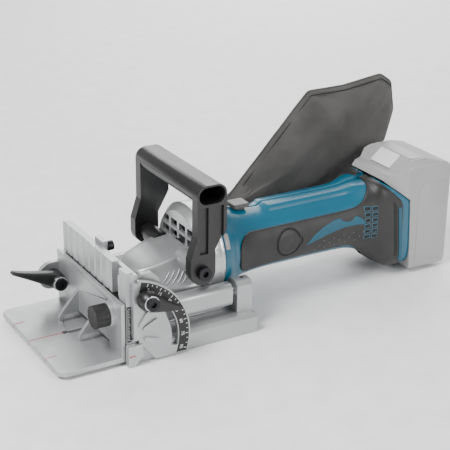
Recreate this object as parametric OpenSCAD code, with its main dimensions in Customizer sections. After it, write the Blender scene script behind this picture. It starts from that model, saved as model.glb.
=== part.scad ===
// Cordless biscuit joiner: a plunging blade unit on a slide base, with an angle guide,
// a D handle, a dust bag and a slide-on battery.
// Millimetres. +Z is up, the blade leaves the tool towards -Y, and the battery is at +Y.
// The origin is on the sole, under the blade spindle.

/* [Blade] */
// Diameter of the blade
blade_d = 100; // [96:1:100]
// Width of the slot that the blade cuts
blade_t = 4; // [2:0.5:4]
// Height of the blade's middle plane above the sole
blade_z = 10; // [9.5:0.5:10.5]
// Number of teeth on the blade
blade_teeth = 6; // [4:1:8]

/* [Base] */
// Half of the base's width
base_hw = 70; // [69:1:71]
// Rear edge of the base
base_rear = 82.4; // [80:0.1:84]
// Height of the base's outer rim
rim_h = 14.4; // [14:0.1:15]
// Height of the deck that the motor unit slides on
deck_h = 17.7; // [17.5:0.1:17.8]
// Distance that the motor unit plunges
plunge = 20; // [16:1:20]

/* [Guide] */
// Half of the width of the angle guide
guide_hw = 69; // [66:1:70]
// Front edge of the guide's plate
guide_front = -114.2; // [-120:0.1:-110]
// Top of the guide's plate
guide_top = 7.6; // [7.4:0.1:7.6]
// Thickness of the guide's plate
guide_t = 4.6; // [3:0.1:5]
// Height of the guide's upright wall
guide_wall_z = 58.6; // [56:0.1:59]

/* [Motor unit] */
// Height of the motor's axis
motor_z = 61.5; // [61:0.1:62]
// Radius of the grip
grip_r = 31; // [30:0.5:32]
// Wall thickness of the plastic housing
wall = 2.8; // [2:0.1:3]
// Radius of the fan drum
drum_r = 47; // [46:0.5:48]

/* [Handle] */
// Height of the top of the handle
handle_top = 148.6; // [146:0.1:150]
// Outer face of the handle's legs
handle_hw = 60; // [60:0.1:61]

/* [Battery] */
// Half of the battery's width
batt_hw = 37.4; // [37:0.1:38]
// Lean of the battery's rail in degrees
rail_lean = 3; // [2.9:0.1:3.1]

/* [Hidden] */
$fn = 48;
gap = 0.3;
fence_back = -44;
fence_front = -51;
guide_back = -51.8;
guide_face = -55.4;
hinge_y = -47.5;
hinge_z = 24.4;
sector_y = -52;
sector_z = 20;
sector_r = 61.5;
sector_front = -41;
rod_x = 50;
rod_z = 36;
rod_r = 5;
knob_x = 49;
knob_z = 42.7;
lever_y = -63.2;
lever_z = 34;
stud_y = -34;
stud_z = 62.5;
brush_y = 140;
lock_z = 46;
drum_front = 37.9;
screw_places = [[240, 42], [240, 84], [266, 24], [262, 84]];
stop_x = -35.5;
stop_screw_x = stop_x + 5;
stop_z = 27;
bag_x = -60;
bag_y = 96;
bag_z = 32;
collar_end = 32;
c45 = sqrt(0.5);
// Outside of the round housing: radius and place along the tool
body_line = [[46, 62], [45, 69], [38, 80], [36, 84], [33, 99], [grip_r, 133], [grip_r, 226]];
// Side outline of the rear housing, from the underside round to the top
rear_line = [[216, 31], [238, 26], [262, 9], [rail_y(8), 8], [rail_y(80), 80], [252, 101],
    [240, 101], [228, 97], [216, 92]];
// Side outline of the battery
batt_line = [[rail_y(5) + 0.5, 5], [rail_y(80.5) + 0.5, 80.5], [262.5, 94.5], [253, 102.5],
    [257, 108], [267, 107.5], [284, 121], [300, 120], [326, 113], [333, 104], [335.5, 60],
    [335, 12], [328, 4]];
// Side outline of the filled bag
bag_line = [[bag_y + (collar_end - 16) * c45, bag_z + (collar_end + 16) * c45], [127, 76],
    [219, 174], [262, 180], [307, 178], [322, 169], [327, 141], [319, 108], [290, 84], [200, 52],
    [bag_y + (collar_end + 16) * c45, bag_z + (collar_end - 16) * c45]];

// Rear face of the housing at a height: the battery's rail leans forward
function rail_y(z) = 284 - z * tan(rail_lean);

// A solid whose outline is drawn in Y and Z, from x0 to x1
module side(x0, x1) {
    translate([x0, 0, 0]) rotate([90, 0, 90]) linear_extrude(x1 - x0) children();
}

// A solid whose outline is drawn in X and Z, from y0 to y1
module front(y0, y1) {
    translate([0, y1, 0]) rotate([90, 0, 0]) linear_extrude(y1 - y0) children();
}

// A box given by its two corners
module block(a, b) {
    translate(a) cube(b - a);
}

// A cylinder along X, Y or Z
module rod_x_axis(x0, x1, y, z, r) {
    translate([x0, y, z]) rotate([0, 90, 0]) cylinder(r = r, h = x1 - x0);
}

module rod_y_axis(y0, y1, x, z, r) {
    translate([x, y0, z]) rotate([-90, 0, 0]) cylinder(r = r, h = y1 - y0);
}

module rod_z_axis(z0, z1, x, y, r) {
    translate([x, y, z0]) cylinder(r = r, h = z1 - z0);
}

module both_sides() {
    children();
    mirror([1, 0, 0]) children();
}

// A solid of revolution about the motor's axis; the outline holds radius and y
module about_motor() {
    translate([0, 0, motor_z]) rotate([-90, 0, 0]) rotate_extrude($fn = 96) children();
}

// A flat slot with round ends, along Y
module slot_z(z0, z1, y0, y1, r) {
    rod_z_axis(z0, z1, 0, y0, r);
    rod_z_axis(z0, z1, 0, y1, r);
    block([-r, y0, z0], [r, y1, z1]);
}

module base_body() {
    block([-base_hw, fence_front, 0], [base_hw, base_rear, rim_h]);
    front(-43.5, base_rear) polygon([[-base_hw, rim_h - 0.1], [base_hw, rim_h - 0.1],
        [base_hw, rim_h], [66, deck_h], [-66, deck_h], [-base_hw, rim_h]]);
    both_sides() {
        block([62.3, -50, rim_h - 1], [66.1, -44.6, 27.9]);
        side(base_hw - 0.1, 75.5) polygon([[-52, 0], [-46, 0], [-38.5, 8], [-38.5, 20], [-52, 20]]);
        front(-38.7, -33) polygon([[44.6, deck_h - 1], [59, deck_h - 1], [59, 42], [56, 45],
            [47, 45], [44.6, 42]]);
        front(66.5, base_rear) polygon([[44, deck_h - 1], [60, deck_h - 1], [60, 44], [56, 48],
            [47, 48], [44, 45]]);
    }
    side(61, base_hw - 4) polygon([[-39.8, deck_h - 1], [-8, deck_h - 1], [-12, 62], [-18, 76],
        [-24, 82], [-34, 82], [-39.8, 74]]);
}

module base_casting() {
    color("silver") difference() {
        base_body();
        intersection() {
            slot_z(3.2, deck_h - 3.2, -plunge, 0, blade_d / 2 + 2.6);
            block([-60, -47, 0], [60, 60, deck_h]);
        }
        slot_z(deck_h - 3.3, deck_h + 1, -plunge, 0, 17);
        block([-46, fence_front - 1, 6.6], [46, -30, 13.6]);
        block([-56, -48, -1], [56, 66, 3.2]);
        block([-66, 40, 4.5], [-42, base_rear + 1, deck_h - 4]);
        block([-58, 20, 4.5], [-30, 42, deck_h - 4]);
        rod_z_axis(3, 9, 40, 60, 3);
        both_sides() {
            rod_y_axis(-38.2, base_rear + 1, rod_x, rod_z, rod_r + 0.02);
            rod_x_axis(59, 68, hinge_y, hinge_z, 2.02);
            rod_z_axis(rod_z, 50, rod_x, 76.5, 2.1);
        }
        rod_x_axis(60, 67, stud_y, stud_z, 2.92);
        rod_x_axis(-22.1, 22.1, 66.6, 1.7, 1.02);
        block([-20.2, 65.9, -1], [20.2, 68.6, 3.5]);
    }
}

module fence() {
    color("silver") difference() {
        union() {
            block([-66, fence_back, 20.4], [base_hw, -40.2, 85]);
            block([57, fence_front, 20.4], [base_hw, fence_back, 88]);
            block([-66, fence_front, 20.4], [-57, fence_back, 58]);
            both_sides() block([22, fence_front - 0.2, 21], [26, fence_back, 57]);
            block([base_hw, -46, 24], [74, sector_front, 78]);
            block([-6, fence_back, 78], [10, -39, 93]);
        }
        both_sides() {
            rod_x_axis(59, 75, hinge_y, hinge_z, 2.02);
            block([62, fence_front - 1, 20], [66.4, -44.2, 28.4]);
        }
    }
}

module ribbed_fence() {
    color("gainsboro") difference() {
        block([-62, fence_front, 59], [43, fence_back, 88.6]);
        for (i = [0:7]) rod_z_axis(58, 90, -56 + i * 13, fence_front - 3.2, 4);
    }
}

module angle_sector() {
    color("lightgray") sector_ribs();
    color("lightgray") difference() {
        intersection() {
            rod_x_axis(base_hw + 0.5, 74, sector_y, sector_z, sector_r);
            side(base_hw, 75) polygon([[sector_front, 20.5], [-38, 20.5], [-38, 18], [-25, 1.5],
                [20, 1.5], [20, 100], [sector_front, 100]]);
        }
        difference() {
            rod_x_axis(base_hw, 75, sector_y, sector_z, 49.5);
            rod_x_axis(base_hw - 1, 76, sector_y, sector_z, 43);
            side(base_hw - 1, 76) polygon([[-60, 100], [-41, 100], [sector_y + 13, 68],
                [sector_y, sector_z], [20, 5], [20, -20], [-60, -20]]);
        }
        difference() {
            rod_x_axis(73.6, 75, sector_y, sector_z, 60.2);
            rod_x_axis(73, 76, sector_y, sector_z, 50.4);
        }
    }
}

// Three raised strips that fan out across the quadrant plate
module sector_ribs() {
    for (p = [[-36, 43, 55], [-30, 36.8, 25.5], [-28.8, 21.8, -18]])
        translate([73.9, p[0], p[1]]) rotate([p[2], 0, 0]) {
            translate([0, -6, -2.1]) cube([2, 12, 4.2]);
            for (y = [-6, 6]) translate([0, y, 0]) rotate([0, 90, 0]) cylinder(r = 2.1, h = 2);
        }
}

module angle_scale() {
    color("black") difference() {
        rod_x_axis(73.6, 74.1, sector_y, sector_z, 60);
        rod_x_axis(73, 75, sector_y, sector_z, 50.6);
        side(73, 75) polygon([[-120, -60], [sector_y, -60], [sector_y, sector_z], [-35, 90],
            [-35, 130], [-120, 130]]);
        block([73, -60, -60], [75, 20, 2.5]);
    }
}

module height_scale() {
    color("black") block([base_hw, -50.6, 22], [base_hw + 0.5, -46.6, 56]);
}

module fence_pins() {
    color("dimgray") {
        both_sides() rod_x_axis(59.4, base_hw - 4, hinge_y, hinge_z, 2);
        rod_y_axis(-39, -33, 7, 87, 4.4);
    }
}

module grip_tips() {
    color("dimgray") for (x = [-62, 62]) rod_y_axis(fence_front - 0.5, fence_front, x, 10, 2.6);
}

module guide_rods() {
    color("lightsteelblue") both_sides() rod_y_axis(-38.2, base_rear - 2, rod_x, rod_z, rod_r);
}

module return_springs() {
    color("gray") both_sides() for (i = [0:5]) {
        translate([rod_x, -31.6 + i * 3.5, rod_z]) rotate([-90, 0, 0])
            rotate_extrude() translate([6.4, 0]) circle(r = 0.7, $fn = 16);
    }
}

module rod_screws() {
    color("black") both_sides() rod_z_axis(41.1, 47.6, rod_x, 76.5, 2.08);
}

module lever_stud() {
    color("gray") {
        rod_x_axis(60.5, 75, stud_y, stud_z, 2.9);
        rod_x_axis(74.3, 86.5, stud_y, stud_z, 4);
    }
}

// The pipe of the nozzle, which rises at 45 degrees behind the base
module nozzle_pipe(z0, z1, r) {
    translate([bag_x, bag_y, bag_z]) rotate([-45, 0, 0]) translate([0, 0, z0])
        cylinder(r = r, h = z1 - z0);
}

// A wedge that carries the duct from the base's rear face up to a pipe of radius r
module nozzle_elbow(r, y, low, high) {
    side(bag_x - r, bag_x + r) polygon([[y, low], [y + 5, low],
        [bag_y + r * c45, bag_z - r * c45], [bag_y - r * c45, bag_z + r * c45], [y, high]]);
}

module dust_nozzle() {
    color("dimgray") difference() {
        union() {
            nozzle_elbow(15, base_rear, 3, 26);
            nozzle_pipe(-1, 24, 14);
        }
        nozzle_elbow(10.4, base_rear - 1, 5, 22);
        nozzle_pipe(-2, 25, 11.5);
    }
}

module stop_bracket() {
    color("silver") difference() {
        union() {
            block([stop_x - 6, -38.8, deck_h], [stop_x + 6, -34.2, stop_z]);
            rod_y_axis(-38.8, -34.2, stop_x, stop_z, 6);
        }
        rod_y_axis(-40, -34, stop_x, stop_z, 2.05);
    }
}

// Three landings at three depths, on a dial that turns on its own pin
module stop_dial() {
    color("black") {
        rod_y_axis(-38.6, -34, stop_x, stop_z, 2);
        rod_y_axis(-34, -30, stop_x, stop_z, 8.5);
        difference() {
            rod_y_axis(-30, -24.8, stop_x, stop_z, 8.5);
            translate([stop_x, -31, stop_z]) block([0, 0, -12], [12, 12, 12]);
        }
        intersection() {
            rod_y_axis(-30, -27.6, stop_x, stop_z, 8.5);
            translate([stop_x, -31, stop_z]) block([0, 0, 0], [12, 12, 12]);
        }
    }
}

module blade_cover() {
    color("silver") difference() {
        union() {
            block([-55.6, -47.6, 0], [55.6, 64.4, 2.9]);
            rod_x_axis(-19.8, 19.8, 66.6, 1.7, 1.6);
            block([-19.8, 64, 0.4], [19.8, 66.6, 2.9]);
        }
        rod_x_axis(-21, 21, 66.6, 1.7, 1.05);
        rod_z_axis(-1, 4, 40, 60, 2.02);
        rod_z_axis(-1, 1.4, 40, 60, 4.2);
        for (i = [0:5]) block([-31.5 + i * 12, 30, -1], [-28.5 + i * 12, 52, 4]);
    }
}

module cover_pin() {
    color("gray") rod_x_axis(-22, 22, 66.6, 1.7, 1);
}

module cover_screw() {
    color("gray") {
        rod_z_axis(0.2, 1.3, 40, 60, 4);
        rod_z_axis(1.3, 4.4, 40, 60, 2);
    }
}

// Clamp lever on an axis along X: a hub, and a tapering arm that points along -Y and turns up
module clamp_lever(hub_r, reach, depth, rise) {
    difference() {
        union() {
            rod_x_axis(0, depth, 0, 0, hub_r);
            rotate([-rise, 0, 0]) side(depth * 0.35, depth * 0.9) polygon([[2, hub_r - 1],
                [-reach * 0.45, hub_r - 2.5], [-reach, hub_r - 4.5], [-reach, hub_r - 9.5],
                [-reach * 0.5, -hub_r * 0.4], [2, -hub_r + 1]]);
        }
        rod_x_axis(-1, depth + 1, 0, 0, 4.06);
    }
}

module angle_lever() {
    color("black") translate([74.4, stud_y, stud_z]) mirror([0, 1, 0]) clamp_lever(9.5, 33, 11, -22);
}

module angle_lever_screw() {
    color("dimgray") difference() {
        rod_x_axis(85.8, 89, stud_y, stud_z, 6);
        rod_x_axis(80, 86.5, stud_y, stud_z, 4.02);
        translate([87, stud_y, stud_z]) rotate([0, 90, 0]) cylinder(r = 3, h = 3, $fn = 6);
    }
}

// Triangular web under the guide's wall, with room for the blade to pass
module gusset(x) {
    difference() {
        side(x - 1.8, x + 1.8) polygon([[-76, guide_top], [-76, 12], [-72, 18], [-58, 34],
            [guide_face, 36.5], [guide_face, guide_top]]);
        block([x - 3, -73, guide_top - 1], [x + 3, guide_face + 1, 13.8]);
    }
}

module angle_guide() {
    color("silver") difference() {
        union() {
            block([-guide_hw, guide_front, guide_top - guide_t], [guide_hw, guide_back, guide_top]);
            block([-guide_hw, guide_face, guide_top - 1], [guide_hw, guide_back, guide_wall_z]);
            gusset(-22);
            gusset(22);
            block([-guide_hw, lever_y, lever_z - 13.5], [-guide_hw + 4.5, guide_face + 1, lever_z + 13.5]);
            rod_x_axis(-guide_hw, -guide_hw + 4.5, lever_y, lever_z, 13.5);
            rod_y_axis(-60.4, guide_face + 1, knob_x, knob_z, 12);
            both_sides() {
                block([18.4, guide_back - 1, 22], [21.7, -44.4, 26.5]);
                block([26.3, guide_back - 1, 22], [29.6, -44.4, 26.5]);
            }
        }
        translate([0, -plunge, guide_top - 0.6]) cylinder(r = blade_d / 2 + 6, h = 6.8, $fn = 96);
        block([-2.6, -81, 0], [2.6, guide_face, 10]);
        rod_x_axis(-guide_hw - 1, -guide_hw + 6, lever_y, lever_z, 4.02);
        block([-guide_hw - 1, guide_back, 15], [-guide_hw + 6, -45, 50]);
        rod_y_axis(-62, -50, knob_x, knob_z, 3.05);
        rod_y_axis(-52.6, -50, knob_x, knob_z, 5.4);
        for (s = [-1, 1]) translate([s * guide_hw, guide_front, 0]) rotate([0, 0, 45])
            block([-4, -4, 0], [4, 4, 10]);
    }
}

module guide_rack() {
    color("gray") difference() {
        block([knob_x + 5, -50.8, 34], [57, -45, 80]);
        for (i = [-3:11]) rod_y_axis(-52, -44, knob_x + 5, knob_z + (i + 0.5) * PI, 0.8);
    }
}

module height_pointer() {
    color("gainsboro") side(50, 60) polygon([[guide_face - 0.8, 55], [guide_face, 55],
        [guide_face, 58.4], [guide_face - 0.8, 58.4]]);
}

module height_knob() {
    color("black") difference() {
        union() {
            rod_y_axis(-73.5, -60.6, knob_x, knob_z, 10.4);
            rod_y_axis(-60.7, -50.6, knob_x, knob_z, 3);
            rod_y_axis(-51, -45.4, knob_x, knob_z, 4.9);
        }
        for (i = [0:11]) translate([knob_x, 0, knob_z]) rotate([0, i * 30, 0])
            rod_y_axis(-74, -63, 11.4, 0, 1.6);
        for (i = [0:9]) translate([knob_x, 0, knob_z]) rotate([0, i * 36, 0])
            rod_y_axis(-52, -45, 5.6, 0, 1);
    }
}

module guide_lever() {
    color("black") translate([-64.2, lever_y, lever_z]) clamp_lever(7.4, 47, 20, 22);
}

module guide_lever_screw() {
    color("dimgray") difference() {
        union() {
            rod_x_axis(-70, -43.5, lever_y, lever_z, 4);
            rod_x_axis(-43.5, -41, lever_y, lever_z, 6);
        }
        translate([-42.5, lever_y, lever_z]) rotate([0, 90, 0]) cylinder(r = 3, h = 3, $fn = 6);
    }
}

module slide_carriage() {
    color("silver") difference() {
        union() {
            block([-44.2, -13.5, deck_h + gap], [44.2, 61.8, 24]);
            both_sides() {
                front(-12, 61.8) {
                    polygon([[44, 25], [54, 25], [54, 47], [50, 47], [44, 44.4]]);
                    translate([44, 31]) square([16, 10]);
                    translate([54, 31]) circle(r = 6);
                    translate([54, 41]) circle(r = 6);
                    translate([42, deck_h + gap]) square([4, 20]);
                }
            }
            block([-44.2, -3, 20], [stop_screw_x + 5, 6, stop_z + 5]);
        }
        block([-44.3, -14, 17], [-25, -3, 39]);
        block([-36, 6, 22], [-25, 16, 25]);
        rod_z_axis(deck_h, 30, 0, 0, 20);
        both_sides() rod_y_axis(-13, 63, rod_x, rod_z, rod_r + 0.05);
        rod_y_axis(-4, 7, stop_screw_x, stop_z, 2.52);
    }
}

// Smooth shell of the gear housing: a low nose that widens towards the motor drum
module gear_shell() {
    hull() {
        for (x = [-13, 13]) {
            translate([x, -7, 50]) sphere(r = 10.5, $fn = 32);
            translate([x, 6, 55.5]) sphere(r = 10.5, $fn = 32);
            translate([x, 27, 61]) sphere(r = 10.5, $fn = 32);
        }
        rod_z_axis(24, 26, 0, 3, 23);
        block([-40, 18, 24], [40, drum_front, 40]);
        block([-22, drum_front - 1, 24], [22, drum_front, 72]);
    }
}

module gear_housing() {
    color("silver") difference() {
        union() {
            gear_shell();
            rod_z_axis(19, 24.5, 0, 0, 19.9);
            both_sides() rod_x_axis(20, 49.6, 30.3, 66.8, 7.5);
        }
        rod_z_axis(18, 33, 0, 0, 13.02);
        rod_z_axis(33, 42, 0, 0, 9);
        rod_z_axis(41, 53.9, 0, 0, 16.4);
        rod_z_axis(53, 61.5, 0, 0, 8.02);
        rod_y_axis(6, drum_front + 1, 0, motor_z, 7.4);
        both_sides() rod_x_axis(36, 51, 30.3, 66.8, 3.02);
        rod_x_axis(-60, -14, 0, lock_z, 2.54);
        rod_x_axis(-60, -25.2, 0, lock_z, 6.3);
        block([-46, -9, 23], [-25, 20.5, 33]);
    }
}

module vent_drum() {
    color("gainsboro") difference() {
        intersection() {
            about_motor() polygon([[14, drum_front], [40, drum_front], [drum_r, 45],
                [drum_r, 58], [44.4, 58], [44.4, 46.5], [39, 41.4], [14, 41.4]]);
            block([-60, 30, 24.1], [60, 60, 120]);
        }
        for (x = [-24.8:15.8:24.8], z = [77.4, 88]) block([x - 6, 30, z - 3.8], [x + 6, 44, z + 3.8]);
    }
}

module motor_flange() {
    color("silver") difference() {
        intersection() {
            about_motor() polygon([[13.05, 58], [drum_r, 58], [drum_r, 61.6], [13.05, 61.6]]);
            block([-60, 50, 24.1], [60, 70, 120]);
        }
        for (a = [0:45:315]) translate([0, 0, motor_z]) rotate([0, a + 22, 0])
            rod_y_axis(57, 63, 26, 0, 5);
    }
}

// Inside of the rear housing, a wall's thickness in from its outline
module rear_cavity() {
    side(-34, 34) polygon([[212, 37], [240, 31], [264, 13], [280.4, 12], [276.6, 78],
        [250, 97.5], [240, 97.5], [229, 93], [212, 86]]);
}

// Webs inside the grip that hold the stator, the rear bearing, the switch and the controller
module inner_ribs() {
    about_motor() {
        polygon([[28.02, 96], [32, 96], [32, 100], [28.02, 100]]);
        polygon([[28.02, 116], [29.5, 116], [29.5, 120], [28.02, 120]]);
        polygon([[10.02, 151.5], [29, 151.5], [29, 157], [10.02, 157]]);
    }
    block([11, 172, 60], [29, 186, 63]);
    block([15, 202, 60], [29, 222, 63]);
}

module housing_half() {
    difference() {
        intersection() {
            difference() {
                union() {
                    intersection() {
                        about_motor() polygon(concat([[0, 62]], body_line, [[0, 226]]));
                        block([-60, 60, 24.3], [60, 240, 120]);
                    }
                    side(-36.8, 36.8) polygon(rear_line);
                    side(-12, 12) polygon([[124, 84], [236, 84], [236, 101], [226, 98],
                        [150, 96], [128, 97]]);
                }
                intersection() {
                    about_motor() polygon(concat([[0, 61]], [for (p = body_line)
                        [p[0] - wall, p[1]]], [[0, 226]]));
                    block([-60, 60, 24.3 + wall], [60, 240, 120]);
                }
                rear_cavity();
                block([-19.9, 270, 16], [19.9, 290, 81]);
                block([-5.3, 84, 80], [5.3, 111, 100]);
                block([-8.4, 84.4, 95.8], [8.4, 111, 101]);
                side(-9.6, 9.6) polygon([[128, 83], [230, 83], [230, 94], [150, 92], [128, 93]]);
            }
            block([0, 50, 0], [80, 300, 140]);
        }
        rod_x_axis(20, 50, brush_y, motor_z, 13.1);
        for (p = screw_places) rod_x_axis(-1, 50, p[0], p[1], 1.6);
    }
    difference() {
        union() {
            for (p = screw_places) rod_x_axis(0, 35, p[0], p[1], 4);
            inner_ribs();
        }
        for (p = screw_places) rod_x_axis(-1, 50, p[0], p[1], 1.6);
        block([-60, 50, 0], [0, 300, 140]);
        block([-5.3, 84, 80], [5.3, 111, 100]);
    }
}

module housing_left() {
    color("darkcyan") housing_half();
}

module housing_right() {
    color("teal") mirror([1, 0, 0]) housing_half();
}

module grip_pad() {
    difference() {
        intersection() {
            about_motor() polygon(concat([for (p = body_line) if (p[1] > 80) p], [[grip_r + 2.6, 226],
                [grip_r + 2.6, 133], [35.6, 99], [38.6, 84]]));
            side(12, 60) polygon([[90, 50], [96, 44], [222, 44], [222, 84], [100, 82], [90, 76]]);
        }
        rod_x_axis(20, 50, brush_y, motor_z, 13.1);
    }
}

module grip_pad_left() {
    color("dimgray") grip_pad();
}

module grip_pad_right() {
    color("dimgray") mirror([1, 0, 0]) grip_pad();
}

module brush_caps() {
    color("dimgray") both_sides() difference() {
        rod_x_axis(29, 33.8, brush_y, motor_z, 13);
        block([33, brush_y - 9, motor_z - 1], [35, brush_y + 9, motor_z + 1]);
    }
}

module carbon_brushes() {
    color("black") both_sides() block([11.2, brush_y - 3, motor_z - 3],
        [28.9, brush_y + 3, motor_z + 3]);
}

module housing_screws() {
    color("gray") for (p = screw_places) rod_x_axis(-30, 30, p[0], p[1], 1.58);
}

module d_handle() {
    color("black") difference() {
        union() {
            both_sides() side(handle_hw - 9.8, handle_hw) {
                polygon([[24.4, 139], [54.4, 139], [54.4, 104], [43, 84], [43, 66.8],
                    [18, 66.8], [18, 80], [24.4, 100]]);
                translate([30.5, 66.8]) circle(r = 12.5);
            }
            for (y = [34.25, 44.55]) rod_x_axis(-handle_hw, handle_hw, y, handle_top - 9.85, 9.85);
            block([-handle_hw, 34.25, handle_top - 19.7], [handle_hw, 44.55, handle_top]);
        }
        for (y = [34.25, 44.55]) rod_x_axis(-61, 61, y, handle_top - 9.85, 8);
        block([-61, 34.25, handle_top - 17.85], [61, 44.55, handle_top - 1.85]);
        both_sides() {
            rod_x_axis(40, 62, 30.3, 66.8, 3.02);
            for (y = [27, 42.5]) block([handle_hw - 2.4, y, 84], [handle_hw + 1, y + 8.5, 128]);
        }
    }
}

module handle_screws() {
    color("dimgray") both_sides() difference() {
        union() {
            rod_x_axis(37, handle_hw, 30.3, 66.8, 3);
            rod_x_axis(handle_hw, handle_hw + 5, 30.3, 66.8, 6.4);
        }
        translate([handle_hw + 2, 30.3, 66.8]) rotate([0, 90, 0]) cylinder(r = 3.2, h = 4, $fn = 6);
    }
}

module depth_screw() {
    color("gray") {
        rod_y_axis(-4.5, 14, stop_screw_x, stop_z, 2.5);
        translate([stop_screw_x, 6.1, stop_z]) rotate([-90, 0, 0]) cylinder(r = 4.6, h = 3.6, $fn = 6);
    }
}

module stator() {
    color("dimgray") about_motor() polygon([[20.3, 90], [28, 90], [28, 126], [20.3, 126]]);
}

// A ball bearing drawn as its two rings and the seal between them
module bearing_ring(ri, ro, h) {
    difference() {
        cylinder(r = ro, h = h);
        translate([0, 0, -1]) cylinder(r = ri, h = h + 2);
        translate([0, 0, h - 0.4]) difference() {
            cylinder(r = ro - 1.6, h = 1);
            translate([0, 0, -1]) cylinder(r = ri + 1.6, h = 3);
        }
    }
}

module bearings() {
    color("lightgray") {
        translate([0, 0, 25]) bearing_ring(6.02, 13, 8);
        translate([0, 0, 54]) bearing_ring(4.02, 8, 7);
        translate([0, 58, motor_z]) rotate([-90, 0, 0]) bearing_ring(5.02, 13, 7);
        translate([0, 151, motor_z]) rotate([-90, 0, 0]) bearing_ring(4.02, 10, 7);
    }
}

module switch_unit() {
    color("black") block([-11, 168, 50], [11, 190, 74]);
}

module controller() {
    color("darkgreen") block([-15, 194, 52], [15, 232, 72]);
}

module terminal_block() {
    color("black") side(-19.6, 19.6) polygon([[271, 17], [rail_y(17) + 4.2, 17],
        [rail_y(79.5) + 4.2, 79.5], [271, 79.5]]);
}

module slide_switch() {
    color("dimgray") {
        block([-8, 93, 96.2], [8, 110, 100.4]);
        block([-5, 96, 90.2], [5, 107, 96.4]);
    }
}

module shaft_lock() {
    color("black") {
        rod_x_axis(-31, -27.5, 0, lock_z, 6);
        rod_x_axis(-28, -18.5, 0, lock_z, 2.5);
    }
}

module blade() {
    r = blade_d / 2;
    color("lightgray") difference() {
        union() {
            rod_z_axis(blade_z - 1.3, blade_z + 1.3, 0, 0, r - 2);
            rod_z_axis(blade_z - blade_t / 2, blade_z + blade_t / 2, 0, 0, 16);
            for (i = [0:blade_teeth - 1]) rotate([0, 0, i * 360 / blade_teeth])
                block([r - 9, 0, blade_z - blade_t / 2], [r - 0.3, 2.6, blade_z + blade_t / 2]);
        }
        rod_z_axis(0, 20, 0, 0, 10.02);
        for (i = [0:blade_teeth - 1]) rotate([0, 0, i * 360 / blade_teeth]) {
            translate([r - 8, -8, 0]) cylinder(r = 8, h = 20);
        }
    }
}

module spindle() {
    color("gray") {
        rod_z_axis(4, 61, 0, 0, 4);
        rod_z_axis(12, 33, 0, 0, 6);
        rod_z_axis(blade_z + blade_t / 2, 15.8, 0, 0, 14);
        rod_z_axis(blade_z - blade_t / 2, 12.1, 0, 0, 10);
    }
}

module lock_nut() {
    color("dimgray") difference() {
        rod_z_axis(4.2, blade_z - blade_t / 2, 0, 0, 14);
        rod_z_axis(3, 9, 0, 0, 4.02);
        for (a = [0:90:270]) rotate([0, 0, a]) rod_z_axis(3, 6, 9, 0, 1.6);
    }
}

module bevel_gear() {
    color("slategray") difference() {
        union() {
            rod_z_axis(42.3, 49.3, 0, 0, 15.8);
            translate([0, 0, 49.3]) cylinder(r1 = 15.8, r2 = 11, h = 4);
        }
        rod_z_axis(38, 54, 0, 0, 4.02);
        for (i = [0:34]) rotate([0, 0, i * 360 / 35]) translate([15, 0, 52.3])
            rotate([0, 50, 0]) block([-6, -0.5, -0.8], [6, 0.5, 2]);
        for (a = [0:60:300]) rotate([0, 0, a]) rod_x_axis(-17, -12.6, 0, lock_z, 2.9);
    }
}

module armature() {
    color("darkgray") {
        rod_y_axis(12, 21, 0, motor_z, 2.45);
        rod_y_axis(21, 166, 0, motor_z, 4);
        rod_y_axis(56, 66, 0, motor_z, 5);
        about_motor() polygon([[0, 90], [19.6, 90], [19.6, 124], [0, 124]]);
    }
}

module commutator() {
    color("orange") difference() {
        rod_y_axis(132, 148, 0, motor_z, 11);
        rod_y_axis(131, 149, 0, motor_z, 4.02);
        for (i = [0:17]) translate([0, 0, motor_z]) rotate([0, i * 20, 0])
            block([-0.3, 131, 10.4], [0.3, 149, 12]);
    }
}

module fan() {
    color("ivory") difference() {
        union() {
            rod_y_axis(66.2, 76, 0, motor_z, 9);
            rod_y_axis(74.4, 76, 0, motor_z, 33);
            for (i = [0:11]) translate([0, 0, motor_z]) rotate([0, i * 30, 0])
                block([-0.7, 67, 8], [0.7, 75, 32]);
        }
        rod_y_axis(60, 80, 0, motor_z, 4.02);
    }
}

module pinion() {
    color("slategray") difference() {
        translate([0, 12, motor_z]) rotate([-90, 0, 0]) cylinder(r1 = 4.4, r2 = 6.8, h = 9);
        rod_y_axis(11, 23, 0, motor_z, 2.5);
        for (i = [0:9]) translate([0, 17, motor_z]) rotate([0, i * 36, 0])
            rotate([-14, 0, 0]) block([-0.6, -8, 4.6], [0.6, 8, 9]);
    }
}

// Outline of the battery from above, with its rear corners rounded
module battery_plan() {
    polygon([[-24, 240], [24, 240], [25, 256], [batt_hw, 277], [batt_hw, 324],
        [-batt_hw, 324], [-batt_hw, 277], [-25, 256]]);
    translate([-batt_hw + 11, 240]) square([2 * batt_hw - 22, 100]);
    for (s = [-1, 1]) translate([s * (batt_hw - 12), 324]) circle(r = 12);
}

// Outline of the battery from the front, with its upper corners rounded
module battery_front() {
    translate([-batt_hw, 0]) square([2 * batt_hw, 110]);
    translate([-batt_hw + 9, 0]) square([2 * batt_hw - 18, 130]);
    for (s = [-1, 1]) translate([s * (batt_hw - 10), 110]) circle(r = 10);
}

module battery_case() {
    color("lightgray") difference() {
        intersection() {
            side(-batt_hw, batt_hw) polygon(batt_line);
            linear_extrude(140) battery_plan();
            front(200, 360) battery_front();
        }
        side(-34, 34) polygon([[292, 8], [289, 80], [272, 96], [284, 108], [300, 116], [324, 109],
            [330, 102], [332, 60], [331.6, 14], [327, 8]]);
        side(-20.2, 20.2) polygon([[270, 0], [rail_y(0) + 4.6, 0], [rail_y(81) + 4.6, 81],
            [270, 89]]);
        on_button_face() block([-15.4, 1.4, -10.6], [15.4, 19.6, 9]);
    }
}

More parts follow.
